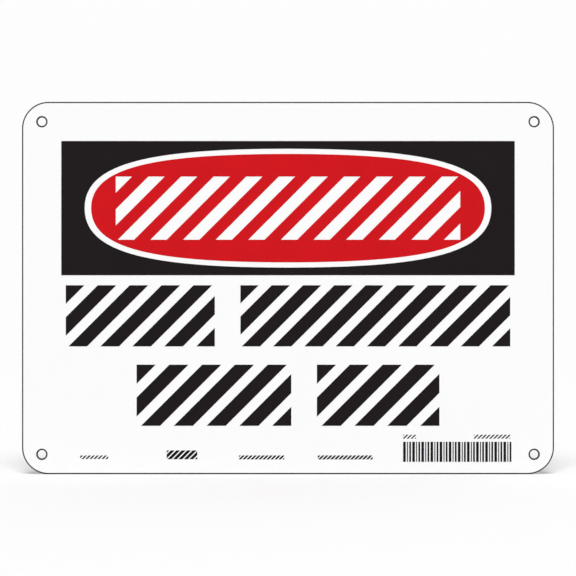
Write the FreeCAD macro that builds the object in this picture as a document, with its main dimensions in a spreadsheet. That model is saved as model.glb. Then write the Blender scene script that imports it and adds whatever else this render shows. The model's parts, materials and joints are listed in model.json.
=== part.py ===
# Wall-mounted safety sign: one enamelled aluminium sheet with four screw holes,
# printed with a black header, a red oval in a white ring, bands of slanted stripes and
# one row of upright bars.
# The sign stands upright. X is its width and Z its height, its back lies at Y = 0
# and its printed face looks towards -Y. The origin is the centre of the hole pattern
# on the back face. Lengths are in millimetres and angles in degrees.

import FreeCAD, Part

import os
from typing import NamedTuple

import Sketcher

# Driving dimensions: alias, value, meaning
SIZES = (
    ("sheet_width", 254.0, "width of the sheet, ten inches"),
    ("sheet_height", 177.8, "height of the sheet, seven inches"),
    ("sheet_thickness", 1.02, "0.040 inch sheet"),
    ("corner_radius", 12.7, "rounding of the four corners, half an inch"),
    ("edge_roll", 0.5, "rolled-over front edge that the blanking die leaves"),
    ("rim_roll", 0.35, "rolled-over front rim of each punched hole"),
    ("back_break", 0.12, "deburred edge on the back"),
    ("hole_diameter", 3.97, "screw holes, five thirty-seconds of an inch"),
    ("hole_inset", 9.525, "hole centre to the nearest two edges, three eighths"),
    ("ink_film", 0.06, "thickness of the printed film"),
    ("header_height", 64.05, "height of the black header field"),
    ("header_drop", 18.75, "upper edge of the sheet to the header"),
    ("header_side", 18.8, "side edges of the sheet to the header"),
    ("ring_end_margin", 11.15, "end of the header to the white ring"),
    ("ring_top_margin", 3.65, "upper edge of the header to the white ring"),
    ("ring_end_width", 3.1, "width of the ring at its two ends"),
    ("ring_top_width", 2.5, "width of the ring at top and bottom"),
    ("oval_fullness", 0.72, "0.55 is an ellipse, 1 is a rectangle with soft corners"),
    ("stripe_slant", 45.0, "lean of every stripe from upright"),
    ("signal_length_share", 0.875, "part of the oval's length that its white stripes fill"),
    ("signal_height_share", 0.583, "part of the oval's height that its white stripes fill"),
    ("signal_count", 13, "white stripes in the oval"),
    ("signal_share", 0.5, "part of the pitch that a white stripe fills"),
    ("line_drop", 4.8, "header to the upper line of black bands"),
    ("line_gap", 8.75, "upper line to the lower line"),
    ("band_gap", 12.25, "gap between the two bands of a line"),
    ("message_share", 0.58, "part of the pitch that a black stripe fills"),
    ("upper_side", 20.95, "side edges of the sheet to the upper line"),
    ("upper_left_width", 71.1, "left band of the upper line"),
    ("upper_left_count", 7, "stripes in it"),
    ("upper_right_count", 11, "stripes in the right band"),
    ("lower_side", 54.75, "side edges of the sheet to the lower line"),
    ("lower_left_width", 73.8, "left band of the lower line"),
    ("lower_left_count", 7, "stripes in it"),
    ("lower_right_count", 6, "stripes in the right band"),
    ("footer_width", 51.65, "row of upright bars near the lower right corner"),
    ("footer_height", 9.55, "height of the bars"),
    ("bar_groups", 12, "groups of one wide, one narrow and one medium bar"),
    ("wide_bar", 1.25, "first bar of a group"),
    ("narrow_bar", 0.5, "second bar of a group"),
    ("medium_bar", 0.85, "third bar of a group"),
    ("footer_side", 20.4, "right edge of the sheet to the row"),
    ("footer_rise", 5.95, "lower edge of the sheet to the row"),
    ("footer_gap", 7.65, "row of bars to the lower line"),
)

# The header hangs from the upper edge of the sheet, the ring, the oval and the white
# stripes lie one inside the other
HEADER_WIDTH = "(sizes.sheet_width - 2 * sizes.header_side)"
HEADER_Z = "sizes.sheet_height / 2 - sizes.header_drop - sizes.header_height / 2"
RING_LENGTH = f"({HEADER_WIDTH} - 2 * sizes.ring_end_margin)"
RING_HEIGHT = "(sizes.header_height - 2 * sizes.ring_top_margin)"
OVAL_LENGTH = f"({RING_LENGTH} - 2 * sizes.ring_end_width)"
OVAL_HEIGHT = f"({RING_HEIGHT} - 2 * sizes.ring_top_width)"
SIGNAL_WIDTH = f"({OVAL_LENGTH} * sizes.signal_length_share)"
SIGNAL_HEIGHT = f"({OVAL_HEIGHT} * sizes.signal_height_share)"

# The two lines of black bands share the height between the header and the row of bars
HEADER_BOTTOM = "(sizes.sheet_height / 2 - sizes.header_drop - sizes.header_height)"
FOOTER_TOP = "(sizes.footer_rise + sizes.footer_height - sizes.sheet_height / 2)"
FOOTER_Z = f"{FOOTER_TOP} - sizes.footer_height / 2"
LINE_GAPS = "sizes.line_drop - sizes.line_gap - sizes.footer_gap"
LINE_HEIGHT = f"(({HEADER_BOTTOM} - {FOOTER_TOP} - {LINE_GAPS}) / 2)"
UPPER_LINE_Z = f"{HEADER_BOTTOM} - sizes.line_drop - {LINE_HEIGHT} / 2"
LOWER_LINE_Z = f"{FOOTER_TOP} + sizes.footer_gap + {LINE_HEIGHT} / 2"

# The groups of bars fill the row, and all the gaps between bars are equal
GROUP_INK = "(sizes.wide_bar + sizes.narrow_bar + sizes.medium_bar)"
BAR_GAP = f"((sizes.footer_width - sizes.bar_groups * {GROUP_INK}) / (3 * sizes.bar_groups - 1))"
GROUP_PITCH = f"({GROUP_INK} + 3 * {BAR_GAP})"

# Each slanted gap is cut a little past the band's top and bottom
CUT_OVERRUN = 1.0

# A rolled edge leaves room for the deburred edge behind it
ROLL_LIMIT = "sizes.sheet_thickness - 2 * sizes.back_break"

# How the sketcher numbers the origin and the points of a line, arc or circle
ORIGIN = -1
START, END, CENTRE = 1, 2, 3

FLAT = 1e-6
V = FreeCAD.Vector


class Stripes(NamedTuple):
    """Expressions for one band of stripes: its size and how it is divided."""

    width: str
    height: str
    count: str
    share: str


def write_sheet(doc):
    """Put the driving dimensions in a spreadsheet, each with its alias."""
    sheet = doc.addObject("Spreadsheet::Sheet", "sizes")
    for row, (alias, value, meaning) in enumerate(SIZES, start=1):
        sheet.set(f"A{row}", alias)
        sheet.set(f"B{row}", str(value))
        sheet.set(f"C{row}", meaning)
        sheet.setAlias(f"B{row}", alias)
    doc.recompute()
    return sheet


def origin_feature(body, role):
    """Return one of the body's own origin planes or axes."""
    for feature in body.Origin.OriginFeatures:
        if feature.Role == role:
            return feature
    raise LookupError(role)


def new_body(doc, name, x="0", y="0", z="0"):
    """Start a body and place it by expressions."""
    body = doc.addObject("PartDesign::Body", name)
    body.Label = name
    for axis, expression in (("x", x), ("y", y), ("z", z)):
        body.setExpression(f"Placement.Base.{axis}", expression)
    return body


def front_sketch(body, name):
    """Start a sketch in the body's upright plane, which faces -Y."""
    sketch = body.newObject("Sketcher::SketchObject", name)
    sketch.AttachmentSupport = [(origin_feature(body, "XZ_Plane"), "")]
    sketch.MapMode = "FlatFace"
    return sketch


def drive(sketch, name, constraint, expression):
    """Add a named dimension and bind it to an expression."""
    index = sketch.addConstraint(constraint)
    sketch.renameConstraint(index, name)
    sketch.setExpression(f"Constraints.{name}", expression)


def drive_point(sketch, name, geometry, point, across, up):
    """Hold a point at two driven distances from the sketch's origin."""
    place = (ORIGIN, START, geometry, point, 1.0)
    drive(sketch, f"{name}_across", Sketcher.Constraint("DistanceX", *place), across)
    drive(sketch, f"{name}_up", Sketcher.Constraint("DistanceY", *place), up)


def closed_outline(sketch, corners):
    """Draw straight lines through the corners and join them end to end."""
    following = corners[1:] + corners[:1]
    lines = [sketch.addGeometry(Part.LineSegment(a, b), False) for a, b in zip(corners, following)]
    for line, after in zip(lines, lines[1:] + lines[:1]):
        sketch.addConstraint(Sketcher.Constraint("Coincident", line, END, after, START))
    return lines


def square_outline(sketch, name, corners, width, height):
    """Draw a rectangle of driven size and return its bottom and top lines."""
    bottom, right, top, left = closed_outline(sketch, corners)
    for line in (bottom, top):
        sketch.addConstraint(Sketcher.Constraint("Horizontal", line))
    for line in (right, left):
        sketch.addConstraint(Sketcher.Constraint("Vertical", line))
    across = Sketcher.Constraint("DistanceX", bottom, START, bottom, END, 20.0)
    drive(sketch, f"{name}_width", across, width)
    up = Sketcher.Constraint("DistanceY", right, START, right, END, 10.0)
    drive(sketch, f"{name}_height", up, height)
    return bottom, top


def draw_rectangle(sketch, width, height):
    """Draw a rectangle about the sketch's origin."""
    corners = [V(-10, -5, 0), V(10, -5, 0), V(10, 5, 0), V(-10, 5, 0)]
    bottom, top = square_outline(sketch, "outline", corners, width, height)
    opposite = (bottom, START, top, START, ORIGIN, START)
    sketch.addConstraint(Sketcher.Constraint("Symmetric", *opposite))


def draw_bar(sketch, name, left, width, height):
    """Draw an upright bar, centred on the sketch's X axis, from a driven left edge."""
    corners = [V(-20, -5, 0), V(-19, -5, 0), V(-19, 5, 0), V(-20, 5, 0)]
    bottom, _ = square_outline(sketch, name, corners, width, height)
    drive_point(sketch, f"{name}_start", bottom, START, left, f"-{height} / 2")


def draw_quarter_oval(sketch, half_length, half_height):
    """Draw a quarter of the oval: two straight sides and one cubic curve.

    The curve leaves both axes squarely. Its handles reach oval_fullness of the way to
    the corner, which makes the oval fuller than an ellipse.
    """
    poles = [V(20, 0, 0), V(20, 7, 0), V(14, 10, 0), V(0, 10, 0)]
    outline = Part.BSplineCurve()
    outline.buildFromPolesMultsKnots(poles, [4, 4], [0, 1], False, 3)
    curve = sketch.addGeometry(outline, False)
    handles = [sketch.addGeometry(Part.Circle(pole, V(0, 0, 1), 1.0), True) for pole in poles]
    sketch.addConstraint(Sketcher.Constraint("Weight", handles[0], 1.0))
    for number, handle in enumerate(handles):
        if number > 0:
            sketch.addConstraint(Sketcher.Constraint("Equal", handles[0], handle))
        kind = "InternalAlignment:Sketcher::BSplineControlPoint"
        sketch.addConstraint(Sketcher.Constraint(kind, handle, CENTRE, curve, number))
    along = sketch.addGeometry(Part.LineSegment(V(0, 0, 0), poles[0]), False)
    down = sketch.addGeometry(Part.LineSegment(poles[-1], V(0, 0, 0)), False)
    joints = (
        (along, START, ORIGIN, START),
        (down, END, ORIGIN, START),
        (along, END, curve, START),
        (down, START, curve, END),
    )
    for joint in joints:
        sketch.addConstraint(Sketcher.Constraint("Coincident", *joint))
    drive_point(sketch, "end", along, END, half_length, "0")
    drive_point(sketch, "crown", down, START, "0", half_height)
    end_handle_up = f"({half_height}) * sizes.oval_fullness"
    crown_handle_across = f"({half_length}) * sizes.oval_fullness"
    drive_point(sketch, "end_handle", handles[1], CENTRE, half_length, end_handle_up)
    drive_point(sketch, "crown_handle", handles[2], CENTRE, crown_handle_across, half_height)


def pad(body, sketch, name, thickness="sizes.ink_film"):
    """Raise the sketch towards -Y by a driven thickness, by default a printed film's."""
    feature = body.newObject("PartDesign::Pad", name)
    feature.Profile = (sketch, [""])
    feature.setExpression("Length", thickness)
    return feature


def cut_through(body, sketch, name):
    """Cut the sketch through the solid, which lies on the sketch's -Y side."""
    feature = body.newObject("PartDesign::Pocket", name)
    feature.Profile = (sketch, [""])
    feature.Type = "ThroughAll"
    feature.Reversed = True
    return feature


def mirror_four_ways(body, feature, name):
    """Repeat a feature of the upper right quarter in the other three quarters."""
    pattern = body.newObject("PartDesign::MultiTransform", name)
    mirrors = []
    for role in ("YZ_Plane", "XY_Plane"):
        mirror = body.newObject("PartDesign::Mirrored", f"{name}_{role}")
        mirror.MirrorPlane = (origin_feature(body, role), [""])
        mirrors.append(mirror)
    pattern.Originals = [feature]
    pattern.Transformations = mirrors
    body.Tip = pattern
    return pattern


def repeat_along(body, feature, name, pitch, count):
    """Repeat a feature along the body's X axis at a driven pitch."""
    pattern = body.newObject("PartDesign::LinearPattern", name)
    pattern.Originals = [feature]
    pattern.Direction = (origin_feature(body, "X_Axis"), [""])
    pattern.Mode = "Spacing"
    pattern.setExpression("Offset", pitch)
    pattern.setExpression("Occurrences", count)
    body.Tip = pattern
    return pattern


def edge_names(feature, wanted):
    """List the names of a feature's edges that meet a condition."""
    return [f"Edge{n}" for n, edge in enumerate(feature.Shape.Edges, start=1) if wanted(edge)]


def lies_at(edge, y):
    """Tell whether a whole edge lies in the plane at the given Y."""
    return abs(edge.BoundBox.YMin - y) < FLAT and abs(edge.BoundBox.YMax - y) < FLAT


def crosses_sheet(edge):
    """Tell whether an edge runs through the sheet's thickness."""
    return edge.BoundBox.YLength > FLAT


def round_edges(body, name, base, edges, radius):
    """Round the named edges of the base feature by a driven radius."""
    feature = body.newObject("PartDesign::Fillet", name)
    feature.Base = (base, edges)
    feature.setExpression("Radius", radius)
    body.Tip = feature
    body.Document.recompute()
    return feature


def break_edges(body, name, base, edges, size):
    """Chamfer the named edges of the base feature by a driven size."""
    feature = body.newObject("PartDesign::Chamfer", name)
    feature.Base = (base, edges)
    feature.setExpression("Size", size)
    body.Tip = feature
    body.Document.recompute()
    return feature


def build_plate(doc, sheet):
    """Sheet with rounded corners, four punched holes and eased edges."""
    body = new_body(doc, "sign_plate")
    outline = front_sketch(body, "sheet_outline")
    draw_rectangle(outline, "sizes.sheet_width", "sizes.sheet_height")
    blank = pad(body, outline, "sheet_blank", "sizes.sheet_thickness")
    doc.recompute()

    corner_edges = edge_names(blank, crosses_sheet)
    corners = round_edges(body, "rounded_corners", blank, corner_edges, "sizes.corner_radius")

    hole = front_sketch(body, "screw_hole")
    rim = hole.addGeometry(Part.Circle(V(20, 20, 0), V(0, 0, 1), 2.0), False)
    across = "sizes.sheet_width / 2 - sizes.hole_inset"
    up = "sizes.sheet_height / 2 - sizes.hole_inset"
    drive_point(hole, "centre", rim, CENTRE, across, up)
    drive(hole, "diameter", Sketcher.Constraint("Diameter", rim, 4.0), "sizes.hole_diameter")
    punched = cut_through(body, hole, "punched_hole")
    holes = mirror_four_ways(body, punched, "hole_pattern")
    doc.recompute()
    if holes.Shape.Volume >= corners.Shape.Volume:
        raise RuntimeError("the screw holes cut nothing")

    front = -sheet.get("sheet_thickness")
    outline_edges = edge_names(holes, lambda edge: lies_at(edge, front) and not edge.isClosed())
    edge_roll = f"min(sizes.edge_roll; {ROLL_LIMIT})"
    outline_rolled = round_edges(body, "rolled_outline", holes, outline_edges, edge_roll)
    rim_edges = edge_names(outline_rolled, lambda edge: lies_at(edge, front) and edge.isClosed())
    rim_roll = f"min(sizes.rim_roll; {ROLL_LIMIT})"
    rims_rolled = round_edges(body, "rolled_rims", outline_rolled, rim_edges, rim_roll)
    back_edges = edge_names(rims_rolled, lambda edge: lies_at(edge, 0))
    break_edges(body, "deburred_back", rims_rolled, back_edges, "sizes.back_break")
    return body


def build_oval(body, name, length, height, shape_quarter):
    """Draw a quarter of an oval, pad or cut it and mirror it to the other quarters."""
    sketch = front_sketch(body, f"{name}_quarter")
    draw_quarter_oval(sketch, f"{length} / 2", f"{height} / 2")
    quarter = shape_quarter(body, sketch, name)
    return mirror_four_ways(body, quarter, f"{name}_whole")


def build_header(doc):
    """Black field with an oval opening as large as the outside of the white ring."""
    body = new_body(doc, "black_header", y="-sizes.sheet_thickness", z=HEADER_Z)
    outline = front_sketch(body, "header_outline")
    draw_rectangle(outline, HEADER_WIDTH, "sizes.header_height")
    field = pad(body, outline, "header_field")
    opening = build_oval(body, "ring_opening", RING_LENGTH, RING_HEIGHT, cut_through)
    doc.recompute()
    if opening.Shape.Volume >= field.Shape.Volume:
        raise RuntimeError("the ring opening cuts nothing")
    return body


def build_stripe_band(doc, name, stripes, x, z):
    """Band of stripes: a rectangle cut by equal slanted gaps.

    The outer stripes start exactly at the upper left and lower right corners, so the
    band is the same when it is turned by half a turn.
    """
    width, height, count, share = stripes
    lean = f"({height} * tan(sizes.stripe_slant))"
    pitch = f"(({width} + {lean}) / ({count} - 1 + {share}))"
    overrun_lean = f"{CUT_OVERRUN} * tan(sizes.stripe_slant)"

    body = new_body(doc, name, x, "-sizes.sheet_thickness", z)
    outline = front_sketch(body, f"{name}_outline")
    draw_rectangle(outline, width, height)
    band = pad(body, outline, f"{name}_film")

    gap = front_sketch(body, f"{name}_gap")
    corners = [V(-20, -10, 0), V(-10, -10, 0), V(10, 10, 0), V(0, 10, 0)]
    bottom, right, top, left = closed_outline(gap, corners)
    for line in (bottom, top):
        gap.addConstraint(Sketcher.Constraint("Horizontal", line))
    start_across = f"{share} * {pitch} - {width} / 2 - {lean} - {overrun_lean}"
    start_up = f"-{height} / 2 - {CUT_OVERRUN}"
    drive_point(gap, "start", bottom, START, start_across, start_up)
    gap_width = Sketcher.Constraint("DistanceX", bottom, START, bottom, END, 10.0)
    drive(gap, "gap_width", gap_width, f"(1 - {share}) * {pitch}")
    left_lean = Sketcher.Constraint("DistanceX", left, END, left, START, 20.0)
    drive(gap, "left_lean", left_lean, f"{lean} + 2 * {overrun_lean}")
    right_lean = Sketcher.Constraint("DistanceX", right, START, right, END, 20.0)
    drive(gap, "right_lean", right_lean, f"{lean} + 2 * {overrun_lean}")
    gap_height = Sketcher.Constraint("DistanceY", left, END, left, START, 20.0)
    drive(gap, "gap_height", gap_height, f"{height} + {2 * CUT_OVERRUN}")

    first_gap = cut_through(body, gap, f"{name}_first_gap")
    gaps = repeat_along(body, first_gap, f"{name}_gaps", pitch, f"{count} - 1")
    doc.recompute()
    if gaps.Shape.Volume >= band.Shape.Volume:
        raise RuntimeError(f"the gaps of {name} cut nothing")
    return body


def build_red_oval(doc):
    """Red oval inside the ring, with the white stripes left open in it."""
    field = new_body(doc, "oval_field", y="-sizes.sheet_thickness", z=HEADER_Z)
    build_oval(field, "oval_film", OVAL_LENGTH, OVAL_HEIGHT, pad)

    signal = Stripes(SIGNAL_WIDTH, SIGNAL_HEIGHT, "sizes.signal_count", "sizes.signal_share")
    stripes = build_stripe_band(doc, "signal_stripes", signal, "0", HEADER_Z)
    oval = doc.addObject("Part::Cut", "red_oval")
    oval.Label = "red_oval"
    oval.Base = field
    oval.Tool = stripes
    doc.recompute()
    if oval.Shape.Volume >= field.Shape.Volume:
        raise RuntimeError("the white stripes cut nothing")
    return oval


def build_line(doc, line, z):
    """Two black bands side by side, centred on the sheet with a gap between them.

    The left band has its own width and the right band fills the rest of the line.
    """
    line_end = f"(sizes.sheet_width / 2 - sizes.{line}_side)"
    left_width = f"sizes.{line}_left_width"
    right_width = f"(2 * {line_end} - sizes.band_gap - {left_width})"
    places = (
        ("left", left_width, f"{left_width} / 2 - {line_end}"),
        ("right", right_width, f"{line_end} - {right_width} / 2"),
    )
    bands = []
    for side, width, x in places:
        count = f"sizes.{line}_{side}_count"
        stripes = Stripes(width, LINE_HEIGHT, count, "sizes.message_share")
        bands.append(build_stripe_band(doc, f"{line}_{side}_band", stripes, x, z))
    return bands


def build_footer(doc):
    """Row of upright bars near the lower right corner: wide, narrow and medium by turns."""
    x = "sizes.sheet_width / 2 - sizes.footer_side - sizes.footer_width / 2"
    body = new_body(doc, "footer_band", x, "-sizes.sheet_thickness", FOOTER_Z)
    group = front_sketch(body, "bar_group")
    left = "-sizes.footer_width / 2"
    for bar in ("wide_bar", "narrow_bar", "medium_bar"):
        draw_bar(group, bar, left, f"sizes.{bar}", "sizes.footer_height")
        left = f"{left} + sizes.{bar} + {BAR_GAP}"
    first_group = pad(body, group, "first_bar_group")
    repeat_along(body, first_group, "bar_row", GROUP_PITCH, "sizes.bar_groups")
    doc.recompute()
    return body


def check_objects(doc):
    """Stop if any object of the document failed to compute."""
    for item in doc.Objects:
        if "Invalid" in item.State or "Error" in item.State:
            raise RuntimeError(f"{item.Label} failed: {item.State}")


def check_shape(node):
    """Stop if a finished sub-part has no sound solid."""
    shape = node.Shape
    if shape.isNull() or not shape.isValid() or not shape.Solids:
        raise RuntimeError(f"{node.Label} has no sound solid")


def main():
    """Build the document, check it and write one file for each sub-part."""
    doc = FreeCAD.newDocument("safety_sign")
    sheet = write_sheet(doc)
    nodes = [build_plate(doc, sheet), build_header(doc), build_red_oval(doc)]
    nodes += build_line(doc, "upper", UPPER_LINE_Z)
    nodes += build_line(doc, "lower", LOWER_LINE_Z)
    nodes.append(build_footer(doc))
    doc.recompute()

    check_objects(doc)
    for node in nodes:
        check_shape(node)

    os.makedirs("parts", exist_ok=True)
    for node in nodes:
        node.Shape.exportStep(f"parts/{node.Label}.step")
        box = node.Shape.BoundBox
        print(f"{node.Label}: {len(node.Shape.Solids)} solids, {node.Shape.Volume:.2f} mm3, {box}")


main()
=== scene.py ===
"""Looks of a wall-mounted safety sign of enamelled and printed sheet metal.

The sign stands upright: X is its width, Z its height, and its print faces -Y.
Lengths are in metres, and sizes that a sign maker would give in millimetres are
written as a number times MM.
"""

import json
import logging
import math
from collections.abc import Callable
from dataclasses import dataclass
from enum import Enum
from typing import Any

import bmesh
import bpy
from mathutils import Matrix, Vector

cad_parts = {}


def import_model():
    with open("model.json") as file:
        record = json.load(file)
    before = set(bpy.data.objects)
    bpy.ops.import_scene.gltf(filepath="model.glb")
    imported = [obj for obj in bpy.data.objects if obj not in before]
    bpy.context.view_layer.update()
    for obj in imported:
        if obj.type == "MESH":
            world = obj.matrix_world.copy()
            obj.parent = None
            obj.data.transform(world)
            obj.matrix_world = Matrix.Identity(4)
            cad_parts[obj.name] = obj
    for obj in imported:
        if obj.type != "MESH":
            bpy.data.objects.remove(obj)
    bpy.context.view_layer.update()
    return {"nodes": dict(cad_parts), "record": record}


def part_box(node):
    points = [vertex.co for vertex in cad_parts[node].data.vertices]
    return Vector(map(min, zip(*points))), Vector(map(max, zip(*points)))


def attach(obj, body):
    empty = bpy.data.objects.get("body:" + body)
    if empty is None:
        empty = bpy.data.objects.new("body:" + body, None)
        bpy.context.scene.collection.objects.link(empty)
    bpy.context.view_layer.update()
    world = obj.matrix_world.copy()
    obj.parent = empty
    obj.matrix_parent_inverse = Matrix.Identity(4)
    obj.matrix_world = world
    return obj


MM = 0.001
BODY = "root"
OUT = Vector((0.0, -1.0, 0.0))
QUARTER = math.radians(90.0)

# Soft noise lies between 0 and 1 and seldom leaves these limits
NOISE_LOW, NOISE_HIGH = 0.3, 0.7

Triple = tuple[float, float, float]
Line = list[bmesh.types.BMVert | bmesh.types.BMEdge]
Socket = bpy.types.NodeSocket

# A node's input takes a plain value or colour, or the output of another node
Value = float | Socket
Colour = Triple | Socket

log = logging.getLogger("safety_sign")


class Ink(Enum):
    """Printing inks, each with its colour as linear light."""

    BLACK = (0.0078, 0.0047, 0.0055)
    RED = (0.5910, 0.0044, 0.0088)


class Slot(Enum):
    """Names of the record's material slots."""

    # This slot holds the near-black line of painted shade along the sheet's edge and round its
    # holes
    PRIMER = "dark_primer"
    BLACK_INK = "black_ink"


def even(value: float) -> Triple:
    """Give all three axes or colour channels the same value."""
    return (value, value, value)


def scaled(colour: Triple, factor: float) -> Triple:
    """Make a colour darker or lighter by a factor."""
    return tuple(factor * part for part in colour)


def opaque(colour: Colour) -> tuple[float, ...] | Socket:
    """Give a plain colour its alpha and leave a socket as it is."""
    return (*colour, 1.0) if isinstance(colour, tuple) else colour


class NodeGraph:
    """The node tree of a material or of the world, built one node at a time."""

    def __init__(self, tree: bpy.types.NodeTree) -> None:
        """Take over a node tree and remove its old nodes."""
        self.tree = tree
        self.tree.nodes.clear()

    def add(
        self, kind: str, inputs: dict[str | int, Any] | None = None, **settings: Any
    ) -> bpy.types.Node:
        """Add a node.

        Args:
            kind: Type name of the node.
            inputs: Values or output sockets for its inputs, by name or number.
            settings: Properties of the node itself.

        Returns:
            The new node.
        """
        node = self.tree.nodes.new(kind)
        for name, value in settings.items():
            setattr(node, name, value)
        for key, value in (inputs or {}).items():
            if isinstance(value, Socket):
                self.tree.links.new(value, node.inputs[key])
            else:
                node.inputs[key].default_value = value
        return node

    def place(self) -> Socket:
        """Return the object coordinates, in metres."""
        return self.add("ShaderNodeTexCoord").outputs["Object"]

    def distance(self) -> Socket:
        """Return the distance from the origin, in metres."""
        measure = self.add("ShaderNodeVectorMath", {0: self.place()}, operation="LENGTH")
        return measure.outputs["Value"]

    def facing(self) -> Socket:
        """Return the Y part of the surface's own normal: -1 on the print, 1 on the back."""
        normal = self.add("ShaderNodeTexCoord").outputs["Normal"]
        return self.add("ShaderNodeSeparateXYZ", {"Vector": normal}).outputs["Y"]

    def background_rays(self) -> Socket:
        """Tell the rays that show a background from those that carry its light.

        Returns:
            1 for camera, glossy and transmission rays, else 0.
        """
        path = self.add("ShaderNodeLightPath").outputs
        direct = self.calculate("MAXIMUM", path["Is Camera Ray"], path["Is Glossy Ray"])
        return self.calculate("MAXIMUM", direct, path["Is Transmission Ray"])

    def calculate(self, operation: str, first: Value, second: Value) -> Socket:
        """Combine two values by an operation such as MULTIPLY."""
        return self.add("ShaderNodeMath", {0: first, 1: second}, operation=operation).outputs[0]

    def span(
        self, value: Socket, low: float, high: float, start: float = 0.0, end: float = 1.0
    ) -> Socket:
        """Map the range from low to high to the one from start to end, held at both ends."""
        inputs = {"Value": value, "From Min": low, "From Max": high, "To Min": start, "To Max": end}
        return self.add("ShaderNodeMapRange", inputs, clamp=True).outputs["Result"]

    def mix(self, factor: Value, start: Value, end: Value) -> Socket:
        """Mix two values, where a factor of 0 gives start and 1 gives end."""
        return self.add("ShaderNodeMix", {0: factor, 2: start, 3: end}).outputs[0]

    def blend(self, factor: Value, start: Colour, end: Colour) -> Socket:
        """Mix two colours, where a factor of 0 gives start and 1 gives end."""
        inputs = {0: factor, 6: opaque(start), 7: opaque(end)}
        return self.add("ShaderNodeMix", inputs, data_type="RGBA").outputs[2]


class MaterialGraph(NodeGraph):
    """A material, built from its node tree."""

    def __init__(self, name: str) -> None:
        """Start an empty material.

        Args:
            name: Name of the new material.
        """
        self.material = bpy.data.materials.new(name)
        self.material.use_nodes = True
        super().__init__(self.material.node_tree)

    def bump(self, height: Socket) -> Socket:
        """Tilt the surface by a relief, whose height is in millimetres."""
        inputs = {"Height": height, "Distance": MM, "Strength": 1.0}
        return self.add("ShaderNodeBump", inputs).outputs["Normal"]

    def coat(self, inputs: dict[str, Any]) -> bpy.types.Material:
        """Finish the material with a Principled surface of these inputs."""
        return self.finish(self.add("ShaderNodeBsdfPrincipled", inputs).outputs["BSDF"])

    def finish(self, surface: Socket) -> bpy.types.Material:
        """Finish the material with the output of its last shader."""
        self.add("ShaderNodeOutputMaterial", {"Surface": surface})
        return self.material


@dataclass(frozen=True)
class Texture:
    """Soft noise that stays on a piece, by its features per metre along X, Y and Z."""

    per_metre: Triple
    detail: float = 2.0

    def lay(self, graph: NodeGraph) -> Socket:
        """Lay the noise over the piece.

        Args:
            graph: Node tree to build in.

        Returns:
            The noise, from 0 to 1.
        """
        stretch = graph.add("ShaderNodeMapping", {"Vector": graph.place(), "Scale": self.per_metre})
        inputs = {"Vector": stretch.outputs["Vector"], "Scale": 1.0, "Detail": self.detail}
        return graph.add("ShaderNodeTexNoise", inputs).outputs["Fac"]


@dataclass(frozen=True)
class Surface:
    """Colour, gloss and relief of a surface, which soft noise moves a little."""

    dark: Triple
    light: Triple
    roughness: float
    roughness_change: float
    depth: float
    texture: Texture

    def colour(self, graph: NodeGraph, noise: Socket) -> Socket:
        """Mix the darker and the lighter colour by soft noise."""
        return graph.blend(noise, self.dark, self.light)

    def gloss(self, graph: NodeGraph, noise: Socket) -> Socket:
        """Let soft noise move the roughness a little both ways."""
        least, most = self.roughness - self.roughness_change, self.roughness + self.roughness_change
        return graph.span(noise, NOISE_LOW, NOISE_HIGH, least, most)

    def height(self, graph: NodeGraph, noise: Socket) -> Socket:
        """Turn soft noise into the relief's height in millimetres."""
        return graph.calculate("MULTIPLY", noise, self.depth / MM)


@dataclass(frozen=True)
class SheetRegions:
    """Masks of the sheet's enamelled front and rolled back. What neither holds is cut edge."""

    front: Socket
    back: Socket

    def choose(
        self, mix: Callable[..., Socket], enamel: Socket, cut: Socket, rolled: Socket
    ) -> Socket:
        """Choose by surface, with the graph's mix for values or its blend for colours."""
        return mix(self.front, mix(self.back, cut, rolled), enamel)


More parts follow.
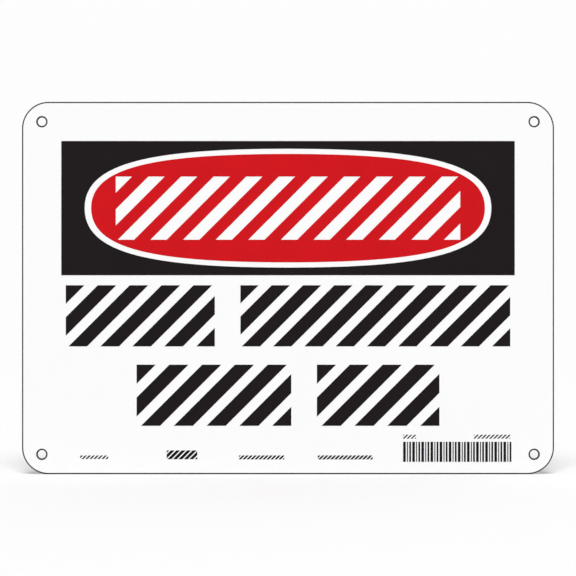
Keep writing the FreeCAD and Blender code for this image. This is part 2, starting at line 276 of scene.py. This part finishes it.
@dataclass(frozen=True)
class EnamelledSheetFinish:
    """White stoved enamel on the front, a cut metal edge and a mill-finish back.

    The enamel ends half way round the rolled-over edge, under the dark line of painted edge shade.
    """

    enamel: Surface = Surface(
        dark=even(0.91605),
        light=even(0.930),
        roughness=0.34,
        roughness_change=0.03,
        depth=0.006 * MM,
        texture=Texture(even(420.0), detail=1.0),
    )
    cut: Surface = Surface(
        dark=(0.22, 0.22, 0.225),
        light=(0.42, 0.42, 0.43),
        roughness=0.42,
        roughness_change=0.09,
        depth=0.010 * MM,
        texture=Texture((1700.0, 90.0, 1700.0)),
    )
    rolled: Surface = Surface(
        dark=(0.53, 0.535, 0.545),
        light=(0.66, 0.665, 0.675),
        roughness=0.33,
        roughness_change=0.06,
        depth=0.0025 * MM,
        texture=Texture((14.0, 1.0, 1400.0), detail=4.0),
    )
    tint: Texture = Texture(even(16.0))
    cloud: Texture = Texture(even(22.0), detail=3.0)
    cloud_from: float = 0.35
    cloud_to: float = 0.65
    cloud_strength: float = 0.18
    front_from: float = -0.70
    front_to: float = -0.80
    back_from: float = 0.955
    back_to: float = 0.985

    def build(self) -> bpy.types.Material:
        """Build the material.

        Returns:
            The sheet's material.
        """
        graph = MaterialGraph("enamelled_sheet")
        facing = graph.facing()
        regions = SheetRegions(
            front=graph.span(facing, self.front_from, self.front_to),
            back=graph.span(facing, self.back_from, self.back_to),
        )
        peel = self.enamel.texture.lay(graph)
        shear = self.cut.texture.lay(graph)
        grain = self.rolled.texture.lay(graph)

        colour = regions.choose(
            graph.blend,
            enamel=self.enamel.colour(graph, self.tint.lay(graph)),
            cut=self.cut.colour(graph, shear),
            rolled=self.clouded(graph, self.rolled.colour(graph, grain)),
        )
        roughness = regions.choose(
            graph.mix,
            enamel=self.enamel.gloss(graph, peel),
            cut=self.cut.gloss(graph, shear),
            rolled=self.rolled.gloss(graph, grain),
        )
        height = regions.choose(
            graph.mix,
            enamel=self.enamel.height(graph, peel),
            cut=self.cut.height(graph, shear),
            rolled=self.rolled.height(graph, grain),
        )
        return graph.coat(
            {
                "Base Color": colour,
                "Metallic": graph.calculate("SUBTRACT", 1.0, regions.front),
                "Roughness": roughness,
                "Normal": graph.bump(height),
            }
        )

    def clouded(self, graph: NodeGraph, colour: Socket) -> Socket:
        """Darken the back here and there in soft clouds.

        Args:
            graph: Node tree to build in.
            colour: Colour of the back.

        Returns:
            The clouded colour.
        """
        cloud = self.cloud.lay(graph)
        share = graph.span(cloud, self.cloud_from, self.cloud_to, end=self.cloud_strength)
        return graph.blend(share, colour, self.rolled.dark)


@dataclass(frozen=True)
class PaintedEdgeShadeFinish:
    """Painted shade: a matt near-black film with a faint mottle, standing in for the shaded rim of
    the sheet and its holes.
    """

    primer: Surface = Surface(
        dark=(0.016, 0.016, 0.017),
        light=(0.034, 0.033, 0.033),
        roughness=0.55,
        roughness_change=0.06,
        depth=0.004 * MM,
        texture=Texture(even(900.0)),
    )
    shine: float = 0.20

    def build(self) -> bpy.types.Material:
        """Build the material.

        Returns:
            The material of the dark line of painted edge shade.
        """
        # Painted shade: this near-black material stands in for the shaded rim of the sheet and its
        # holes
        graph = MaterialGraph("dark_primer")
        mottle = self.primer.texture.lay(graph)
        return graph.coat(
            {
                "Base Color": self.primer.colour(graph, mottle),
                "Roughness": self.primer.gloss(graph, mottle),
                "Specular IOR Level": self.shine,
                "Normal": graph.bump(self.primer.height(graph, mottle)),
            }
        )


@dataclass(frozen=True)
class InkFinish:
    """Satin screen ink: an even film with a fine mesh grain and slightly uneven cover."""

    ink: Ink
    roughness: float = 0.42
    roughness_change: float = 0.045
    shine: float = 0.10
    cover: Texture = Texture(even(60.0), detail=3.0)
    cover_change: float = 0.05
    grain: Texture = Texture(even(2600.0), detail=1.0)
    grain_depth: float = 0.003 * MM

    def build(self) -> bpy.types.Material:
        """Build the material.

        Returns:
            The ink's material.
        """
        film = Surface(
            dark=scaled(self.ink.value, 1.0 - self.cover_change),
            light=scaled(self.ink.value, 1.0 + self.cover_change),
            roughness=self.roughness,
            roughness_change=self.roughness_change,
            depth=self.grain_depth,
            texture=self.grain,
        )
        graph = MaterialGraph(f"{self.ink.name.lower()}_screen_ink")
        cover = self.cover.lay(graph)
        return graph.coat(
            {
                "Base Color": film.colour(graph, graph.span(cover, NOISE_LOW, NOISE_HIGH)),
                "Roughness": film.gloss(graph, cover),
                "Specular IOR Level": self.shine,
                "Normal": graph.bump(film.height(graph, film.texture.lay(graph))),
            }
        )


@dataclass(frozen=True)
class FloorFinish:
    """Matt pale floor that shows as white and still takes the sign's shadow.

    The light that it throws back comes from a darker grey than the one that is seen. From
    fade_from to fade_to metres from the sign it turns into the white of the surroundings.
    """

    white: float
    lit_grey: float = 0.475
    seen_grey: float = 0.70
    fade_from: float = 0.35
    fade_to: float = 1.1

    def build(self) -> bpy.types.Material:
        """Build the material.

        Returns:
            The floor's material.
        """
        graph = MaterialGraph("studio_floor")
        seen = graph.background_rays()
        grey = graph.mix(seen, self.lit_grey, self.seen_grey)
        matt = graph.add("ShaderNodeBsdfDiffuse", {"Color": grey}).outputs["BSDF"]
        glow_inputs = {"Color": opaque(even(self.white)), "Strength": 1.0}
        glow = graph.add("ShaderNodeEmission", glow_inputs).outputs["Emission"]
        far = graph.span(graph.distance(), self.fade_from, self.fade_to)
        shown = graph.calculate("MULTIPLY", seen, far)
        surface = graph.add("ShaderNodeMixShader", {0: shown, 1: matt, 2: glow})
        return graph.finish(surface.outputs["Shader"])


def new_object(name: str, data: bpy.types.ID) -> bpy.types.Object:
    """Put a new object in the scene.

    Args:
        name: Name of the object.
        data: Its mesh, light or camera.

    Returns:
        The new object.
    """
    made = bpy.data.objects.new(name, data)
    bpy.context.scene.collection.objects.link(made)
    return made


def mesh_object(
    name: str, mesh: bmesh.types.BMesh, material: bpy.types.Material
) -> bpy.types.Object:
    """Turn a finished mesh into an object.

    Args:
        name: Name of the object.
        mesh: Its mesh in the sign's frame, which is freed.
        material: Its finish.

    Returns:
        The new object.
    """
    data = bpy.data.meshes.new(name)
    mesh.to_mesh(data)
    mesh.free()
    data.materials.append(material)
    return new_object(name, data)


def dress(piece: bpy.types.Object, material: bpy.types.Material) -> bpy.types.Object:
    """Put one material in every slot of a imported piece.

    Args:
        piece: Object to dress.
        material: Its finish.

    Returns:
        The same piece.
    """
    for slot in piece.material_slots:
        slot.material = material
    return piece


def sweep(mesh: bmesh.types.BMesh, line: Line, steps: int = 1, **path: Any) -> Line:
    """Sweep points and edges along a straight or round path.

    Args:
        mesh: Mesh that they belong to.
        line: The points and edges.
        steps: Number of copies.
        path: dvec for a straight path, or cent, axis and angle for a round one.

    Returns:
        The points and edges at the far end.
    """
    return bmesh.ops.spin(mesh, geom=line, steps=steps, **path)["geom_last"]


@dataclass(frozen=True)
class SheetOutline:
    """Where the sheet's edges and screw holes lie, about its middle."""

    half_width: float
    half_height: float
    face: float
    hole_across: float
    hole_up: float
    hole_radius: float
    corner_radius: float = 12.7 * MM
    edge_roll: float = 0.5 * MM
    rim_roll: float = 0.35 * MM

    @classmethod
    def from_frame(cls, record: dict[str, Any]) -> "SheetOutline":
        """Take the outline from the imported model.

        Args:
            record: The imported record, which states the pattern of the screw holes.

        Returns:
            The sheet's outline.
        """
        low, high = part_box("sign_plate")
        patterns = (mount for mount in record["mounts"] if mount["kind"] == "bolt_pattern")
        holes = next(patterns)["dims"]
        return cls(
            half_width=high.x,
            half_height=high.z,
            face=low.y,
            hole_across=holes["spacing_x_mm"] / 2 * MM,
            hole_up=holes["spacing_y_mm"] / 2 * MM,
            hole_radius=holes["hole_r_mm"] * MM,
        )


@dataclass
class SignSheet:
    """The enamelled sheet, with a fine dark line along its edge and round its holes.

    The lines are painted shade: a near-black film that stands in for the shaded rim of the
    sheet and its holes. Each is a film that starts on the rolled-over edge and ends on the flat
    face.
    """

    outline: SheetOutline
    finish: EnamelledSheetFinish = EnamelledSheetFinish()
    primer: PaintedEdgeShadeFinish = PaintedEdgeShadeFinish()
    film: float = 0.02 * MM
    edge_width: float = 0.66 * MM
    hole_width: float = 0.74 * MM
    roll_turn: float = math.radians(70.0)
    roll_steps: int = 6
    corner_steps: int = 24
    rim_steps: int = 48
    seam: float = 0.001 * MM
    smooth_below: float = math.radians(40.0)

    def build(self, nodes: dict[str, bpy.types.Object]) -> list[bpy.types.Object]:
        """Dress the sheet and lay the line along its edge and one round each hole.

        Args:
            nodes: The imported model's objects by name.

        Returns:
            The sheet and its lines.
        """
        sheet = dress(nodes["sign_plate"], self.finish.build())
        # The edge and hole lines are painted shade, a near-black film over the sheet's rim
        primer = self.primer.build()
        edge_line = self.lay("edge_line", self.edge_line(), primer)
        across, up = self.outline.hole_across, self.outline.hole_up
        holes = [Vector((x, 0.0, z)) for z in (up, -up) for x in (-across, across)]
        hole_lines = [
            self.lay(f"hole_line_{number}", self.hole_line(hole), primer)
            for number, hole in enumerate(holes, start=1)
        ]
        return [sheet, edge_line, *hole_lines]

    def edge_line(self) -> bmesh.types.BMesh:
        """Sweep the line's section along the four sides and round the four corners.

        Returns:
            The open surface of the line.
        """
        sheet = self.outline
        right = sheet.half_width - sheet.corner_radius
        top = sheet.half_height - sheet.corner_radius
        mesh = bmesh.new()
        centre = Vector((right, 0.0, -top))
        edge = centre + Vector((sheet.corner_radius, sheet.face, 0.0))
        inwards = Vector((-1.0, 0.0, 0.0))
        line = self.section(mesh, edge, inwards, sheet.edge_roll, self.edge_width)
        along = Vector((0.0, 0.0, 1.0))
        for half_side in (top, right, top, right):
            run = 2 * half_side * along
            centre = centre + run
            line = sweep(mesh, line, dvec=run)
            line = sweep(mesh, line, self.corner_steps, cent=centre, axis=OUT, angle=QUARTER)
            along = OUT.cross(along)
        bmesh.ops.remove_doubles(mesh, verts=mesh.verts, dist=self.seam)
        return mesh

    def hole_line(self, hole: Vector) -> bmesh.types.BMesh:
        """Spin the line's section round a screw hole.

        Args:
            hole: Centre of the hole.

        Returns:
            The open surface of the line.
        """
        sheet = self.outline
        mesh = bmesh.new()
        rim = hole + Vector((sheet.hole_radius, sheet.face, 0.0))
        inwards = Vector((1.0, 0.0, 0.0))
        line = self.section(mesh, rim, inwards, sheet.rim_roll, self.hole_width)
        turn = 4 * QUARTER
        sweep(mesh, line, self.rim_steps, cent=hole, axis=OUT, angle=turn, use_merge=True)
        return mesh

    def section(
        self, mesh: bmesh.types.BMesh, edge: Vector, inwards: Vector, roll: float, width: float
    ) -> Line:
        """Draw a line's outer surface in section, from the flat face to the side.

        Args:
            mesh: Empty mesh to draw in.
            edge: Point on the side of the sheet, level with its face.
            inwards: Direction from there into the sheet, along its face.
            roll: Radius of the rolled-over edge.
            width: Width of the line.

        Returns:
            The section's points and edges.
        """
        start = edge + inwards * width + OUT * self.film
        line = bmesh.ops.create_vert(mesh, co=start)["vert"]
        line = sweep(mesh, line, dvec=inwards * (roll - width))
        centre = edge + (inwards - OUT) * roll
        axis = inwards.cross(OUT)
        sweep(mesh, line, self.roll_steps, cent=centre, axis=axis, angle=self.roll_turn)
        return mesh.verts[:] + mesh.edges[:]

    def lay(
        self, name: str, mesh: bmesh.types.BMesh, primer: bpy.types.Material
    ) -> bpy.types.Object:
        """Give a line its thickness, half of it sunk into the sheet, and make it a piece.

        Args:
            name: Name of the piece.
            mesh: The open surface of the line.
            primer: Material of the dark line, which is painted edge shade.

        Returns:
            The new piece.
        """
        bmesh.ops.recalc_face_normals(mesh, faces=mesh.faces)
        bmesh.ops.solidify(mesh, geom=mesh.faces[:], thickness=2 * self.film)
        piece = mesh_object(name, mesh, primer)
        piece.data.shade_smooth()
        piece.data.set_sharp_from_angle(angle=self.smooth_below)
        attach(piece, BODY)
        return piece


@dataclass(frozen=True)
class FineBand:
    """A small band of slanted stripes near the lower edge of the sheet.

    Its place is measured from the sheet's lower left corner, and its share is how much
    of each pitch is ink.
    """

    name: str
    left: float
    rise: float
    width: float
    height: float
    pitch: float
    share: float

    def build(self, corner: Vector, film: float, ink: bpy.types.Material) -> bpy.types.Object:
        """Build the band as one printed piece.

        Args:
            corner: Lower left corner of the sheet's printed face.
            film: Thickness of the ink.
            ink: Material of the ink.

        Returns:
            The new piece.
        """
        mesh = bmesh.new()
        count = math.ceil((self.width + self.height) / self.pitch)
        for number in range(count):
            self.add_stripe(mesh, (number + 0.5 - count / 2) * self.pitch)
        self.trim_ends(mesh)
        self.thicken(mesh, film)
        middle = corner + Vector((self.left + self.width / 2, 0.0, self.rise + self.height / 2))
        upright = Matrix.Translation(middle) @ Matrix.Rotation(QUARTER, 4, "X")
        bmesh.ops.transform(mesh, matrix=upright, verts=mesh.verts)
        piece = mesh_object(self.name, mesh, ink)
        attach(piece, BODY)
        return piece

    def add_stripe(self, mesh: bmesh.types.BMesh, across: float) -> None:
        """Add one stripe, slanted by 45 degrees, as a flat face.

        Args:
            mesh: Mesh that it joins, with X across the band and Y up it.
            across: Where the stripe's middle crosses the band's middle.
        """
        unit_square = bmesh.ops.create_grid(mesh, x_segments=1, y_segments=1, size=0.5)["verts"]
        size = Matrix.Diagonal((self.pitch * self.share, self.height, 1.0, 1.0))
        lean = Matrix.Shear("XZ", 4, (1.0, 0.0))
        slanted = Matrix.Translation((across, 0.0, 0.0)) @ lean @ size
        bmesh.ops.transform(mesh, matrix=slanted, verts=unit_square)

    def trim_ends(self, mesh: bmesh.types.BMesh) -> None:
        """Cut the stripes off squarely at both ends of the band.

        Args:
            mesh: Mesh of the flat stripes.
        """
        for side in (-1.0, 1.0):
            bmesh.ops.bisect_plane(
                mesh,
                geom=mesh.verts[:] + mesh.edges[:] + mesh.faces[:],
                plane_co=(side * self.width / 2, 0.0, 0.0),
                plane_no=(side, 0.0, 0.0),
                clear_outer=True,
            )

    def thicken(self, mesh: bmesh.types.BMesh, film: float) -> None:
        """Turn the flat stripes into closed films.

        Args:
            mesh: Mesh of flat faces, which all look along Z.
            film: Thickness of the films.
        """
        raised = bmesh.ops.extrude_face_region(mesh, geom=mesh.faces[:])["geom"]
        tops = [item for item in raised if isinstance(item, bmesh.types.BMVert)]
        bmesh.ops.translate(mesh, vec=(0.0, 0.0, film), verts=tops)
        bmesh.ops.recalc_face_normals(mesh, faces=mesh.faces)


@dataclass
class Print:
    """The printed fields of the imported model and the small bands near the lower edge."""

    black: tuple[str, ...] = (
        "black_header",
        "upper_left_band",
        "upper_right_band",
        "lower_left_band",
        "lower_right_band",
        "footer_band",
    )
    red: tuple[str, ...] = ("red_oval",)
    film: float = 0.06 * MM
    # Each band's name, left, rise, width, height, pitch and share
    bands: tuple[FineBand, ...] = (
        FineBand("fine_band_1", 27.8 * MM, 7.3 * MM, 13.4 * MM, 1.7 * MM, 1.9 * MM, 0.51),
        FineBand("fine_band_2", 69.1 * MM, 7.2 * MM, 14.6 * MM, 4.2 * MM, 2.6 * MM, 0.71),
        FineBand("fine_band_3", 103.6 * MM, 7.1 * MM, 21.6 * MM, 1.9 * MM, 1.9 * MM, 0.60),
        FineBand("fine_band_4", 141.2 * MM, 7.1 * MM, 26.2 * MM, 1.9 * MM, 1.9 * MM, 0.62),
        FineBand("fine_band_5", 181.9 * MM, 17.0 * MM, 6.2 * MM, 1.9 * MM, 1.9 * MM, 0.44),
        FineBand("fine_band_6", 215.7 * MM, 17.0 * MM, 17.3 * MM, 1.9 * MM, 1.9 * MM, 0.47),
    )

    def build(self, nodes: dict[str, bpy.types.Object]) -> list[bpy.types.Object]:
        """Give every printed field its ink and print the small bands.

        Args:
            nodes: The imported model's objects by name.

        Returns:
            The printed fields and the bands.
        """
        black_ink, red_ink = InkFinish(Ink.BLACK).build(), InkFinish(Ink.RED).build()
        black_fields = [dress(nodes[name], black_ink) for name in self.black]
        red_fields = [dress(nodes[name], red_ink) for name in self.red]
        corner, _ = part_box("sign_plate")
        bands = [band.build(corner, self.film, black_ink) for band in self.bands]
        return black_fields + red_fields + bands


@dataclass
class SoftSource:
    """A broad, even light from far off, like a large white screen.

    Its azimuth is 0 straight in front of the print and grows towards +X. Azimuth,
    elevation and spread are in degrees.
    """

    name: str
    azimuth: float
    elevation: float
    spread: float
    strength: float

    def build(self) -> None:
        """Hang the light."""
        turn, rise = math.radians(self.azimuth), math.radians(self.elevation)
        level = math.cos(rise)
        towards = Vector((math.sin(turn) * level, -math.cos(turn) * level, math.sin(rise)))
        data = bpy.data.lights.new(self.name, "SUN")
        data.angle = math.radians(self.spread)
        data.energy = self.strength
        light = new_object(self.name, data)
        light.location = towards
        light.rotation_euler = towards.to_track_quat("Z", "Y").to_euler()
        log.info("%s hung", self.name)


@dataclass
class Studio:
    """Plain pale floor, white surroundings, soft lamps and the camera."""

    white: float = 0.985
    ambient: float = 0.63
    floor_radius: float = 3.0
    floor_sides: int = 64
    lens: float = 120.0
    sensor: float = 36.0
    nearest: float = 10.0 * MM
    seen_width: float = 274.9 * MM
    sources: tuple[SoftSource, ...] = (
        SoftSource("front_screen", azimuth=-0.5, elevation=61.0, spread=26.0, strength=2.62),
        SoftSource("rear_screen", azimuth=160.0, elevation=40.0, spread=60.0, strength=0.30),
    )

    def build(self) -> None:
        """Set up everything round the sign."""
        low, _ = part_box("sign_plate")
        self.lay_floor(low.z)
        self.light_world()
        for source in self.sources:
            source.build()
        self.set_camera(low.y)
        bpy.context.scene.view_settings.view_transform = "Standard"

    def lay_floor(self, level: float) -> None:
        """Lay a round floor under the sign.

        Args:
            level: Height of the floor.
        """
        mesh = bmesh.new()
        sides, radius = self.floor_sides, self.floor_radius
        bmesh.ops.create_circle(mesh, cap_ends=True, segments=sides, radius=radius)
        bmesh.ops.translate(mesh, vec=(0.0, 0.0, level), verts=mesh.verts)
        floor = mesh_object("floor", mesh, FloorFinish(self.white).build())
        log.info("floor laid at %.4f m", level)

    def light_world(self) -> None:
        """Make the surroundings white to look at and softer as light."""
        world = bpy.data.worlds.new("studio_world")
        world.use_nodes = True
        bpy.context.scene.world = world
        graph = NodeGraph(world.node_tree)
        strength = graph.mix(graph.background_rays(), self.ambient, self.white)
        inputs = {"Color": opaque(even(1.0)), "Strength": strength}
        background = graph.add("ShaderNodeBackground", inputs)
        graph.add("ShaderNodeOutputWorld", {"Surface": background.outputs["Background"]})
        log.info("surroundings lit")

    def set_camera(self, face: float) -> None:
        """Stand the camera square to the middle of the print.

        Args:
            face: Y of the printed face.
        """
        data = bpy.data.cameras.new("camera")
        data.lens = self.lens
        data.sensor_width = self.sensor
        data.clip_start = self.nearest
        away = self.seen_width * self.lens / self.sensor
        camera = new_object("camera", data)
        camera.location = (0.0, face - away, 0.0)
        camera.rotation_euler = (QUARTER, 0.0, 0.0)
        bpy.context.scene.camera = camera
        log.info("camera set %.3f m in front of the print", away)


def main() -> None:
    """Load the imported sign, dress it, set it in the studio and report each piece."""
    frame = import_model()
    nodes = frame["nodes"]

    sheet = SignSheet(SheetOutline.from_frame(frame["record"]))
    pieces = sheet.build(nodes) + Print().build(nodes)
    Studio().build()
    for piece in pieces:
        log.info("%s finished, with %d faces", piece.name, len(piece.data.polygons))


if __name__ == "__main__":
    logging.basicConfig(level=logging.INFO, format="%(name)s: %(message)s")
    main()
